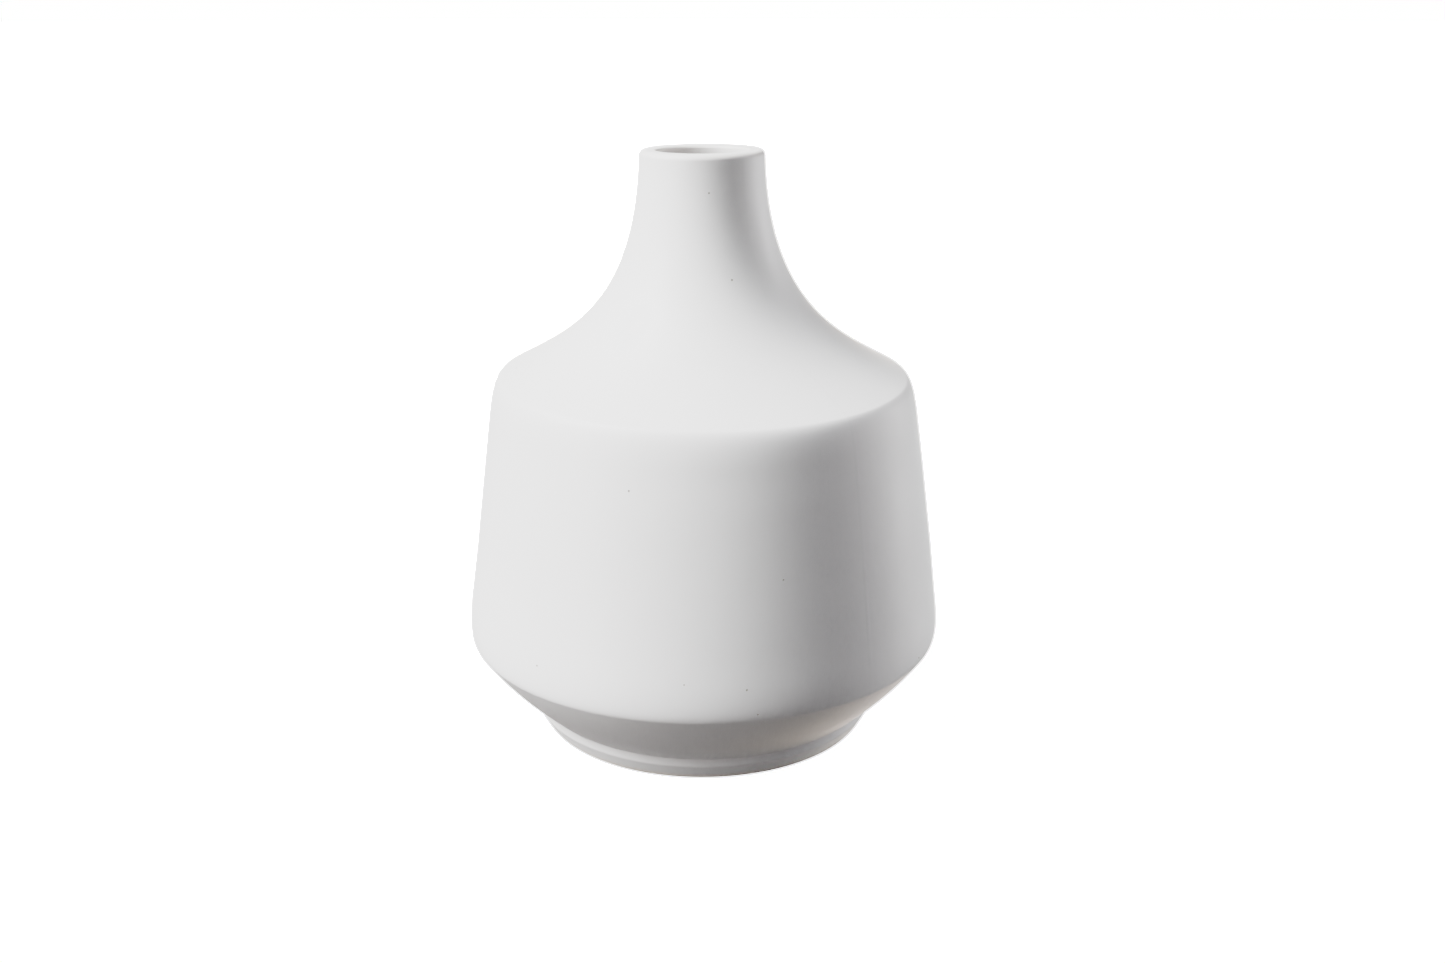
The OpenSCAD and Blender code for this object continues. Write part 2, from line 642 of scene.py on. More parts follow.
def new_tree(
    name: str, kind: str, inputs: dict[str, tuple[str, object]], outputs: dict[str, str]
) -> tuple[Bench, bpy.types.Node, bpy.types.Node]:
    """Makes a node group with named inputs and outputs.

    Args:
        name: The group's name.
        kind: ShaderNodeTree or GeometryNodeTree.
        inputs: Each input's kind and usual value, by name.
        outputs: Each output's kind, by name.

    Returns:
        A bench on the group, its input node and its output node.
    """
    tree = bpy.data.node_groups.new(name, kind)
    for label, (socket, usual) in inputs.items():
        made = tree.interface.new_socket(label, in_out="INPUT", socket_type=SOCKETS[socket])
        if usual is not None:
            made.default_value = usual
    for label, socket in outputs.items():
        tree.interface.new_socket(label, in_out="OUTPUT", socket_type=SOCKETS[socket])
    bench = Bench(tree)
    return bench, bench.put("NodeGroupInput"), bench.put("NodeGroupOutput")


def new_finish(name: str) -> tuple[bpy.types.Material, Bench, bpy.types.Node, bpy.types.NodeSocket]:
    """Starts a material.

    Args:
        name: The material's name.

    Returns:
        The material, a bench on it, its shader, and the place on the piece.
    """
    finish = bpy.data.materials.new(name)
    finish.use_nodes = True
    bench = Bench(finish.node_tree)
    where = bench.put("ShaderNodeTexCoord").outputs["Object"]
    return finish, bench, finish.node_tree.nodes["Principled BSDF"], where


# ---------------------------------------------------------------- finishes


class Effect(Enum):
    """The shared effects that a finish can use."""

    CLOUDS = "glaze_clouds"
    THIN_EDGE = "thin_glaze_edge"
    PEEL = "glaze_peel"
    SEAM = "mould_seam"
    GRAIN = "clay_grain"


class EffectShelf:
    """Keeps each shared effect, and builds it the first time that a finish asks for it."""

    def __init__(self) -> None:
        """Starts with nothing built."""
        self.built: dict[Effect, bpy.types.NodeTree] = {}

    def get(self, effect: Effect) -> bpy.types.NodeTree:
        """Finds or builds an effect.

        Args:
            effect: Which effect.

        Returns:
            Its node group.
        """
        if effect not in self.built:
            makers = {
                Effect.CLOUDS: self.make_clouds,
                Effect.THIN_EDGE: self.make_thin_edge,
                Effect.PEEL: self.make_peel,
                Effect.SEAM: self.make_seam,
                Effect.GRAIN: self.make_grain,
            }
            self.built[effect] = makers[effect]()
        return self.built[effect]

    def make_clouds(self) -> bpy.types.NodeTree:
        """Makes soft clouds and faint upright streaks in the glaze.

        Returns:
            A group with a Tone about 1 and a Cloud from 0 to 1.
        """
        inputs = {
            "Vector": ("vector", None),
            "Cloud Size": ("value", 0.02),
            "Streak Width": ("value", 0.003),
            "Depth": ("value", 0.02),
        }
        bench, given, taken = new_tree(
            Effect.CLOUDS.value, "ShaderNodeTree", inputs, {"Tone": "value", "Cloud": "value"}
        )
        where = given.outputs["Vector"]
        wide = bench.noise(where, bench.reckon("DIVIDE", 1.0, given.outputs["Cloud Size"]), 3.0, 0.55)
        drawn = bench.vector("MULTIPLY", where, (1.0, 1.0, 0.07)).outputs[0]
        streak = bench.noise(drawn, bench.reckon("DIVIDE", 1.0, given.outputs["Streak Width"]), 2.0, 0.6)
        wide_part = bench.reckon("MULTIPLY", wide, 0.65)
        both = bench.reckon("ADD", wide_part, bench.reckon("MULTIPLY", streak, 0.35))
        cloud = bench.span(both, 0.32, 0.68)
        swing = bench.reckon("MULTIPLY", bench.reckon("SUBTRACT", cloud, 0.5), given.outputs["Depth"])
        bench.feed(taken.inputs["Tone"], bench.reckon("ADD", 1.0, swing))
        bench.feed(taken.inputs["Cloud"], cloud)
        return bench.tree

    def make_thin_edge(self) -> bpy.types.NodeTree:
        """Breaks up the rings where the glaze is thin, as it does on a hand-dipped edge.

        Returns:
            A group with a Mask from 0 to 1.
        """
        inputs = {
            "Vector": ("vector", None),
            "Thinness": ("value", 0.0),
            "Break Size": ("value", 0.004),
            "Unevenness": ("value", 0.5),
        }
        bench, given, taken = new_tree(Effect.THIN_EDGE.value, "ShaderNodeTree", inputs, {"Mask": "value"})
        scale = bench.reckon("DIVIDE", 1.0, given.outputs["Break Size"])
        patch = bench.noise(given.outputs["Vector"], scale, 3.0, 0.6)
        lift = bench.reckon("MULTIPLY", bench.reckon("SUBTRACT", patch, 0.5), given.outputs["Unevenness"])
        thin = given.outputs["Thinness"]
        worn = bench.reckon("MULTIPLY", thin, bench.reckon("ADD", 1.0, bench.reckon("MULTIPLY", lift, 2.0)))
        bench.feed(taken.inputs["Mask"], bench.reckon("MULTIPLY", worn, 1.0, clamp=True))
        return bench.tree

    def make_peel(self) -> bpy.types.NodeTree:
        """Makes the fine unevenness of a satin glaze.

        Returns:
            A group with a Height about 0 to 1.
        """
        inputs = {
            "Vector": ("vector", None),
            "Peel Size": ("value", 0.002),
            "Grain Size": ("value", 0.0004),
            "Grain Share": ("value", 0.25),
        }
        bench, given, taken = new_tree(Effect.PEEL.value, "ShaderNodeTree", inputs, {"Height": "value"})
        where = given.outputs["Vector"]
        peel = bench.noise(where, bench.reckon("DIVIDE", 1.0, given.outputs["Peel Size"]), 1.0, 0.4)
        grain = bench.noise(where, bench.reckon("DIVIDE", 1.0, given.outputs["Grain Size"]), 1.0, 0.5)
        feeds = {0: given.outputs["Grain Share"], 2: peel, 3: grain}
        mixed = bench.put("ShaderNodeMix", feeds, data_type="FLOAT")
        bench.feed(taken.inputs["Height"], mixed.outputs[0])
        return bench.tree

    def make_seam(self) -> bpy.types.NodeTree:
        """Makes the two upright lines where the mould's halves met, fettled nearly flat.

        Returns:
            A group with a Mask from 0 to 1.
        """
        inputs = {
            "Vector": ("vector", None),
            "Across": ("vector", (1.0, 0.0, 0.0)),
            "Width": ("value", 0.0008),
        }
        bench, given, taken = new_tree(Effect.SEAM.value, "ShaderNodeTree", inputs, {"Mask": "value"})
        off = bench.vector("DOT_PRODUCT", given.outputs["Vector"], given.outputs["Across"]).outputs["Value"]
        far = bench.reckon("DIVIDE", bench.reckon("ABSOLUTE", off), given.outputs["Width"])
        line = bench.span(far, 0.0, 1.0, 1.0, 0.0)
        patch = bench.noise(given.outputs["Vector"], 60.0, 3.0, 0.6)
        bench.feed(taken.inputs["Mask"], bench.reckon("MULTIPLY", line, bench.span(patch, 0.3, 0.6)))
        return bench.tree

    def make_grain(self) -> bpy.types.NodeTree:
        """Makes the dry grain and dark specks of bare fired clay.

        Returns:
            A group with a Height about 0 to 1 and a Speck from 0 to 1.
        """
        inputs = {
            "Vector": ("vector", None),
            "Grain Size": ("value", 0.0003),
            "Speck Size": ("value", 0.0016),
        }
        bench, given, taken = new_tree(
            Effect.GRAIN.value, "ShaderNodeTree", inputs, {"Height": "value", "Speck": "value"}
        )
        where = given.outputs["Vector"]
        grain = bench.noise(where, bench.reckon("DIVIDE", 1.0, given.outputs["Grain Size"]), 3.0, 0.65)
        scale = bench.reckon("DIVIDE", 1.0, given.outputs["Speck Size"])
        cells = bench.put("ShaderNodeTexVoronoi", {"Vector": where, "Scale": scale})
        dot = bench.span(cells.outputs["Distance"], 0.06, 0.16, 1.0, 0.0)
        chance = bench.put("ShaderNodeSeparateColor", {0: cells.outputs["Color"]}).outputs[0]
        few = bench.reckon("GREATER_THAN", chance, 0.7)
        bench.feed(taken.inputs["Height"], grain)
        bench.feed(taken.inputs["Speck"], bench.reckon("MULTIPLY", dot, few))
        return bench.tree


@dataclass(frozen=True)
class GlazeFinish:
    """A white glaze: clouded, thin and warm over its edges, with painted shade in creases and, if asked, down
    inside the neck.
    """

    name: str
    colour: tuple = (0.84, 0.84, 0.838, 1.0)
    thin_colour: tuple = (0.80, 0.73, 0.65, 1.0)
    # Painted shade: greyer in the foot's crease and the recess corner
    pool_colour: tuple = (0.74, 0.735, 0.73, 1.0)
    roughness: float = 0.44
    cloud_depth: float = 0.022
    peel_depth: float = 0.02 * MM
    thin_share: float = 0.45
    seam_azimuth: float = math.radians(-49)
    seam_depth: float = 0.5
    # Painted shade down inside the neck: dark below the top, fading out towards the lip
    drained_colour: tuple = (0.34, 0.30, 0.27, 1.0)
    drained_share: float = 0.0
    drained_top: float = 139.2 * MM
    drained_fade: float = 4.0 * MM

    def make(self, shelf: EffectShelf) -> bpy.types.Material:
        """Builds the material.

        Args:
            shelf: Where the shared effects are.

        Returns:
            The material.
        """
        finish, bench, shader, where = new_finish(self.name)

        clouds = bench.put("ShaderNodeGroup", node_tree=shelf.get(Effect.CLOUDS))
        bench.feed(clouds.inputs["Vector"], where)
        bench.feed(clouds.inputs["Depth"], self.cloud_depth)
        thin = bench.put("ShaderNodeGroup", node_tree=shelf.get(Effect.THIN_EDGE))
        bench.feed(thin.inputs["Vector"], where)
        thinness = bench.put("ShaderNodeAttribute", attribute_name="thinness").outputs["Fac"]
        bench.feed(thin.inputs["Thinness"], thinness)
        pooling = bench.put("ShaderNodeAttribute", attribute_name="pooling").outputs["Fac"]
        seam = bench.put("ShaderNodeGroup", node_tree=shelf.get(Effect.SEAM))
        bench.feed(seam.inputs["Vector"], where)
        bench.feed(seam.inputs["Across"], (math.sin(self.seam_azimuth), -math.cos(self.seam_azimuth), 0.0))

        # Greyer in the marked creases: painted crease shade
        base = bench.blend(pooling, self.colour, self.pool_colour)
        warmth = bench.reckon("MULTIPLY", thin.outputs["Mask"], self.thin_share)
        edged = bench.blend(warmth, base, self.thin_colour)
        # Darker down inside the neck: painted shade in the bore
        if self.drained_share:
            level = bench.put("ShaderNodeSeparateXYZ", {0: where}).outputs["Z"]
            bottom = self.drained_top - self.drained_fade
            neck_shade = bench.span(level, bottom, self.drained_top, self.drained_share, 0.0)
            edged = bench.blend(neck_shade, edged, self.drained_colour)
        tone = bench.put("ShaderNodeCombineColor", {part: clouds.outputs["Tone"] for part in range(3)})
        clouded = bench.blend(1.0, edged, tone.outputs[0], "MULTIPLY")
        seamed = bench.blend(
            bench.reckon("MULTIPLY", seam.outputs["Mask"], self.seam_depth), clouded, (0.80, 0.80, 0.80, 1.0)
        )
        bench.feed(shader.inputs["Base Color"], seamed)

        gloss = bench.span(clouds.outputs["Cloud"], 0.0, 1.0, self.roughness + 0.03, self.roughness - 0.03)
        rough = bench.reckon("ADD", gloss, bench.reckon("MULTIPLY", warmth, 0.1))
        bench.feed(shader.inputs["Roughness"], rough)
        shader.inputs["IOR"].default_value = 1.5

        peel = bench.put("ShaderNodeGroup", node_tree=shelf.get(Effect.PEEL))
        bench.feed(peel.inputs["Vector"], where)
        raised = bench.reckon("MULTIPLY", seam.outputs["Mask"], 0.8)
        height = bench.reckon("ADD", peel.outputs["Height"], raised)
        bump = bench.put("ShaderNodeBump", {"Height": height, "Distance": self.peel_depth, "Strength": 1.0})
        bench.feed(shader.inputs["Normal"], bump.outputs[0])
        return finish


@dataclass(frozen=True)
class ClayFinish:
    """Bare fired clay: dry, grained and specked, and rubbed darker where it stands."""

    name: str
    colour: tuple = (0.74, 0.66, 0.56, 1.0)
    worn_colour: tuple = (0.55, 0.49, 0.42, 1.0)
    speck_colour: tuple = (0.30, 0.24, 0.19, 1.0)
    roughness: float = 0.88
    grain_depth: float = 0.06 * MM

    def make(self, shelf: EffectShelf) -> bpy.types.Material:
        """Builds the material.

        Args:
            shelf: Where the shared effects are.

        Returns:
            The material.
        """
        finish, bench, shader, where = new_finish(self.name)
        grain = bench.put("ShaderNodeGroup", node_tree=shelf.get(Effect.GRAIN))
        bench.feed(grain.inputs["Vector"], where)
        height = bench.put("ShaderNodeSeparateXYZ", {0: where}).outputs["Z"]
        low = bench.span(height, 0.0, 0.4 * MM, 1.0, 0.0)
        rubbed = bench.reckon("MULTIPLY", low, bench.span(bench.noise(where, 320.0, 4.0, 0.6), 0.42, 0.68))
        worn = bench.blend(rubbed, self.colour, self.worn_colour)
        specked = bench.blend(bench.reckon("MULTIPLY", grain.outputs["Speck"], 0.8), worn, self.speck_colour)
        bench.feed(shader.inputs["Base Color"], specked)
        rough = bench.span(rubbed, 0.0, 1.0, self.roughness, self.roughness - 0.2)
        bench.feed(shader.inputs["Roughness"], rough)
        bump = bench.put("ShaderNodeBump", {"Height": grain.outputs["Height"], "Distance": self.grain_depth})
        bench.feed(shader.inputs["Normal"], bump.outputs[0])
        return finish


@dataclass(frozen=True)
class PitFinish:
    """The inside of a pinhole, dark grey and mottled darker: painted shade in the pit."""

    name: str
    colour: tuple = (0.50, 0.47, 0.44, 1.0)
    dusty_colour: tuple = (0.36, 0.33, 0.30, 1.0)

    def make(self, shelf: EffectShelf) -> bpy.types.Material:
        """Builds the material.

        Args:
            shelf: Where the shared effects are.

        Returns:
            The material.
        """
        finish, bench, shader, where = new_finish(self.name)
        grain = bench.put("ShaderNodeGroup", node_tree=shelf.get(Effect.GRAIN))
        bench.feed(grain.inputs["Vector"], where)
        bench.feed(grain.inputs["Grain Size"], 0.0001)
        # Dark grey mottled darker: painted shade in the pit
        mixed = bench.blend(grain.outputs["Height"], self.colour, self.dusty_colour)
        bench.feed(shader.inputs["Base Color"], mixed)
        bench.feed(shader.inputs["Roughness"], bench.span(grain.outputs["Height"], 0.0, 1.0, 0.7, 0.9))
        return finish


# ---------------------------------------------------------------- turned shells


@dataclass(frozen=True)
class Unevenness:
    """How far the vase is from a perfect turning. Every coat follows the clay, so all the shells share it.

    The swell, ripple and wobble only take away. The shoulder's tilt, lean and sag and the body's shift
    move the surface off the frame's round shape, out as well as in, and stay inside its box.
    """

    swell: float = 0.12 * MM
    swell_size: float = 45 * MM
    ripple: float = 0.02 * MM
    ripple_size: float = 9 * MM
    shoulder_tilt: float = 0.008
    shoulder_lean: float = 0.022
    shoulder_sag: float = 0.5 * MM
    body_shift: float = 0.25 * MM
    lip_wobble: float = 0.15 * MM
    seed: float = 3.7

    @staticmethod
    def label(name: str) -> str:
        """Returns the tree's name for one of these sizes."""
        return name.replace("_", " ").title()


class ShellTree:
    """The Geometry Nodes tree that turns a profile into a closed, slightly uneven shell."""

    NAME = "turned_shell"

    # Spans of height, as shares of the vase's, in which each move comes in and dies away
    SHOULDER_RISE = (0.48, 0.60)
    SHOULDER_FALL = (0.66, 0.86)
    BODY_RISE = (0.22, 0.34)
    BODY_FALL = (0.60, 0.85)
    LIP_RISE = (0.86, 1.0)
    LIP_WAVES = 60.0

    def __init__(self) -> None:
        """Builds the tree."""
        inputs = {
            "Profile": ("mesh", None),
            "Segments": ("count", 192),
            **{Unevenness.label(size.name): ("value", size.default) for size in fields(Unevenness)},
            "Height": ("value", 0.14),
            "Finish": ("finish", None),
        }
        bench, given, taken = new_tree(self.NAME, "GeometryNodeTree", inputs, {"Shell": "mesh"})
        self.bench = bench
        self.given = given
        self.tree = bench.tree
        turned = self.turn()
        settled = self.settle(turned)
        merged = bench.put("GeometryNodeMergeByDistance", {"Geometry": settled, "Distance": 0.000001})
        feeds = {0: bench.softened(merged.outputs[0]), "Material": given.outputs["Finish"]}
        dressed = bench.put("GeometryNodeSetMaterial", feeds)
        bench.feed(taken.inputs["Shell"], dressed.outputs[0])

    def turn(self) -> bpy.types.NodeSocket:
        """Bends a grid into a turning: each row is one point of the profile, carried round the axis.

        Returns:
            The turned mesh, with the profile's marks on it.
        """
        bench = self.bench
        profile = self.given.outputs["Profile"]
        segments = self.given.outputs["Segments"]
        counted = bench.put("GeometryNodeAttributeDomainSize", {0: profile}, component="MESH")
        rows = counted.outputs["Point Count"]
        columns = bench.reckon("ADD", segments, 1.0)
        grid = bench.put(
            "GeometryNodeMeshGrid",
            {
                "Size X": bench.reckon("SUBTRACT", rows, 1.0),
                "Size Y": segments,
                "Vertices X": rows,
                "Vertices Y": columns,
            },
        )
        index = bench.put("GeometryNodeInputIndex").outputs[0]
        row = bench.reckon("FLOOR", bench.reckon("DIVIDE", bench.reckon("ADD", index, 0.5), columns))
        column = bench.reckon("SUBTRACT", index, bench.reckon("MULTIPLY", row, columns))
        step = bench.reckon("MODULO", bench.reckon("ROUND", column), segments)
        angle = bench.reckon("MULTIPLY", bench.reckon("DIVIDE", step, segments), -math.tau)
        position = bench.put("GeometryNodeInputPosition").outputs[0]
        sampled = self.sample(profile, position, row, "FLOAT_VECTOR")
        parts = bench.put("ShaderNodeSeparateXYZ", {0: sampled})
        placed = bench.put(
            "ShaderNodeCombineXYZ",
            {
                "X": bench.reckon("MULTIPLY", parts.outputs["X"], bench.reckon("COSINE", angle)),
                "Y": bench.reckon("MULTIPLY", parts.outputs["X"], bench.reckon("SINE", angle)),
                "Z": parts.outputs["Z"],
            },
        )
        mesh = grid.outputs["Mesh"]
        for mark in ("thinness", "pooling"):
            value = bench.put("GeometryNodeInputNamedAttribute", {"Name": mark}, data_type="FLOAT").outputs[0]
            mesh = bench.store(mesh, mark, self.sample(profile, value, row, "FLOAT"))
        return bench.put("GeometryNodeSetPosition", {0: mesh, "Position": placed.outputs[0]}).outputs[0]

    def sample(
        self, profile: bpy.types.NodeSocket, value: bpy.types.NodeSocket, row: bpy.types.NodeSocket, kind: str
    ) -> bpy.types.NodeSocket:
        """Reads a value of the profile at one of its points.

        Args:
            profile: The profile's mesh.
            value: What to read.
            row: The point's number.
            kind: The value's data type.

        Returns:
            The value there.
        """
        node = self.bench.put("GeometryNodeSampleIndex", {0: profile}, data_type=kind, domain="POINT")
        self.bench.feed(node.inputs["Value"], value)
        self.bench.feed(node.inputs["Index"], row)
        return node.outputs[0]

    def settle(self, mesh: bpy.types.NodeSocket) -> bpy.types.NodeSocket:
        """Moves the shell off its perfect shape. The move depends on the place alone, so coats stay together.

        Args:
            mesh: The turned mesh.

        Returns:
            The mesh as fired.
        """
        bench = self.bench
        given = self.given.outputs
        place = bench.put("GeometryNodeInputPosition").outputs[0]
        parts = bench.put("ShaderNodeSeparateXYZ", {0: place})
        flat = bench.vector("MULTIPLY", place, LEVEL_ONLY).outputs[0]
        radius = bench.vector("LENGTH", flat).outputs["Value"]
        outward = bench.vector("NORMALIZE", flat).outputs[0]
        offset = bench.put("ShaderNodeCombineXYZ", {"X": given["Seed"]}).outputs[0]
        seeded = bench.vector("ADD", place, offset)
        swell = bench.noise(seeded.outputs[0], bench.reckon("DIVIDE", 1.0, given["Swell Size"]), 1.0, 0.4)
        ripple = bench.noise(seeded.outputs[0], bench.reckon("DIVIDE", 1.0, given["Ripple Size"]), 1.0, 0.4)
        inward = bench.reckon(
            "ADD",
            bench.reckon("MULTIPLY", bench.span(swell, 0.2, 0.8), given["Swell"]),
            bench.reckon("MULTIPLY", bench.span(ripple, 0.1, 0.9), given["Ripple"]),
        )
        near_axis = bench.span(radius, 0.0, 5 * MM)
        across = bench.reckon("MULTIPLY", bench.reckon("MULTIPLY", inward, near_axis), -1.0)
        shrunk = bench.vector("SCALE", outward)
        bench.feed(shrunk.inputs["Scale"], across)

        share = bench.reckon("DIVIDE", parts.outputs["Z"], given["Height"])
        rise = bench.span(share, *self.SHOULDER_RISE)
        fall = bench.span(share, *self.SHOULDER_FALL, 1.0, 0.0)
        band = bench.reckon("MULTIPLY", rise, fall)
        sideways = bench.reckon("MULTIPLY", given["Shoulder Tilt"], parts.outputs["X"])
        forwards = bench.reckon("MULTIPLY", given["Shoulder Lean"], parts.outputs["Y"])
        low = bench.reckon("ADD", given["Shoulder Sag"], bench.reckon("SUBTRACT", sideways, forwards))
        tilted = bench.reckon("MULTIPLY", bench.reckon("MULTIPLY", band, low), -1.0)
        above = bench.span(share, *self.BODY_RISE)
        below = bench.span(share, *self.BODY_FALL, 1.0, 0.0)
        aside = bench.reckon("MULTIPLY", bench.reckon("MULTIPLY", above, below), given["Body Shift"])
        lip = bench.span(share, *self.LIP_RISE)
        wave = bench.span(bench.noise(seeded.outputs[0], self.LIP_WAVES, 0.0, 0.5), 0.25, 0.75)
        sunk = bench.reckon("MULTIPLY", bench.reckon("MULTIPLY", lip, wave), given["Lip Wobble"])
        lifted = bench.put("ShaderNodeCombineXYZ", {"X": aside, "Z": bench.reckon("SUBTRACT", tilted, sunk)})
        moved = bench.vector("ADD", shrunk.outputs[0], lifted.outputs[0])
        return bench.put("GeometryNodeSetPosition", {0: mesh, "Offset": moved.outputs[0]}).outputs[0]


@dataclass(frozen=True)
class Pinhole:
    """A pit where a bubble burst in the glaze: its azimuth in degrees, and its height and width in metres."""

    azimuth: float
    height: float
    width: float


PIT_DEPTH = 0.2 * MM

PINHOLES = [
    Pinhole(-83.6, 131.7 * MM, 0.45 * MM),
    Pinhole(-69.9, 113.0 * MM, 0.55 * MM),
    Pinhole(-107.0, 73.5 * MM, 0.50 * MM),
    Pinhole(-71.1, 54.1 * MM, 0.40 * MM),
    Pinhole(-93.6, 32.1 * MM, 0.40 * MM),
    Pinhole(-80.1, 30.6 * MM, 0.50 * MM),
    Pinhole(-129.7, 30.5 * MM, 0.60 * MM),
    Pinhole(-28.7, 24.8 * MM, 0.50 * MM),
    Pinhole(-77.7, 24.6 * MM, 0.40 * MM),
]


class PinholeTree:
    """The Geometry Nodes tree that sinks pinholes into the outer coat: marked ones, and a few at the back."""

    NAME = "glaze_pinholes"

    def __init__(self) -> None:
        """Builds the tree."""
        inputs = {
            "Coat": ("mesh", None),
            "Marks": ("piece", None),
            "Depth": ("value", 0.0002),
            "Back Density": ("value", 500.0),
            "Smallest": ("value", 0.00035),
            "Largest": ("value", 0.0006),
            "Seed": ("count", 0),
            "Pit Finish": ("finish", None),
            "Finish": ("finish", None),
        }
        bench, given, taken = new_tree(self.NAME, "GeometryNodeTree", inputs, {"Coat": "mesh"})
        self.bench = bench
        self.given = given
        self.tree = bench.tree
        coat = given.outputs["Coat"]
        pits = self.pits(self.marked(), self.scattered())
        feeds = {"Mesh 1": coat, "Mesh 2": pits}
        cut = bench.put("GeometryNodeMeshBoolean", feeds, operation="DIFFERENCE", solver="EXACT")
        shaded = bench.softened(cut.outputs[0])
        pit_finish = given.outputs["Pit Finish"]
        pitted = bench.put("GeometryNodeMaterialSelection", {"Material": pit_finish}).outputs[0]
        plain = bench.put("FunctionNodeBooleanMath", {0: pitted}, operation="NOT").outputs[0]
        feeds = {0: shaded, "Selection": plain, "Material": given.outputs["Finish"]}
        dressed = bench.put("GeometryNodeSetMaterial", feeds)
        bench.feed(taken.inputs["Coat"], dressed.outputs[0])

    def marked(self) -> bpy.types.NodeSocket:
        """Returns the marked points, as wide as each mark says."""
        info = self.bench.put("GeometryNodeObjectInfo", {"Object": self.given.outputs["Marks"]})
        points = self.bench.put("GeometryNodeMeshToPoints", {0: info.outputs["Geometry"]})
        return points.outputs[0]

    def scattered(self) -> bpy.types.NodeSocket:
        """Scatters points over the back of the coat.

        Returns:
            The points, with a width of their own.
        """
        bench = self.bench
        given = self.given.outputs
        place = bench.put("GeometryNodeInputPosition").outputs[0]
        normal = bench.put("GeometryNodeInputNormal").outputs[0]
        level = bench.vector("MULTIPLY", place, LEVEL_ONLY).outputs[0]
        flat = bench.vector("NORMALIZE", level).outputs[0]
        facing = bench.vector("DOT_PRODUCT", normal, flat).outputs["Value"]
        outward = bench.reckon("GREATER_THAN", facing, 0.2)
        backness = bench.vector("DOT_PRODUCT", flat, (0.0, 1.0, 0.0)).outputs["Value"]
        behind = bench.reckon("GREATER_THAN", backness, -0.2)
        feeds = {
            "Mesh": given["Coat"],
            "Selection": bench.reckon("MULTIPLY", outward, behind),
            "Density": given["Back Density"],
            "Seed": given["Seed"],
        }
        scatter = bench.put("GeometryNodeDistributePointsOnFaces", feeds, distribute_method="RANDOM")
        feeds = {2: given["Smallest"], 3: given["Largest"], "Seed": 5}
        width = bench.put("FunctionNodeRandomValue", feeds, data_type="FLOAT")
        return bench.store(scatter.outputs[0], "width", width.outputs[1])

    def pits(self, marked: bpy.types.NodeSocket, scattered: bpy.types.NodeSocket) -> bpy.types.NodeSocket:
        """Puts a flattened ball on each point, half sunk in the coat's surface.

        Args:
            marked: The marked points.
            scattered: The scattered points.

        Returns:
            The balls' mesh.
        """
        bench = self.bench
        given = self.given.outputs
        both = bench.put("GeometryNodeJoinGeometry")
        bench.tree.links.new(marked, both.inputs[0])
        bench.tree.links.new(scattered, both.inputs[0])
        near = bench.put("GeometryNodeProximity", {0: given["Coat"]}, target_element="FACES").outputs[0]
        settled = bench.put("GeometryNodeSetPosition", {0: both.outputs[0], "Position": near})
        normal = bench.put("GeometryNodeInputNormal").outputs[0]
        found = bench.put("GeometryNodeSampleNearestSurface", {0: given["Coat"]}, data_type="FLOAT_VECTOR")
        bench.feed(found.inputs["Value"], normal)
        turned = bench.put("FunctionNodeAlignRotationToVector", {"Vector": found.outputs[0]}, axis="Z")
        width = bench.put("GeometryNodeInputNamedAttribute", {"Name": "width"}, data_type="FLOAT").outputs[0]
        half = bench.reckon("MULTIPLY", width, 0.5)
        size = bench.put("ShaderNodeCombineXYZ", {"X": half, "Y": half, "Z": given["Depth"]}).outputs[0]
        ball = bench.put("GeometryNodeMeshIcoSphere", {"Radius": 1.0, "Subdivisions": 3}).outputs[0]
        feeds = {"Points": settled.outputs[0], "Instance": ball, "Rotation": turned.outputs[0], "Scale": size}
        placed = bench.put("GeometryNodeInstanceOnPoints", feeds)
        real = bench.put("GeometryNodeRealizeInstances", {0: placed.outputs[0]})
        feeds = {0: real.outputs[0], "Material": given["Pit Finish"]}
        return bench.put("GeometryNodeSetMaterial", feeds).outputs[0]


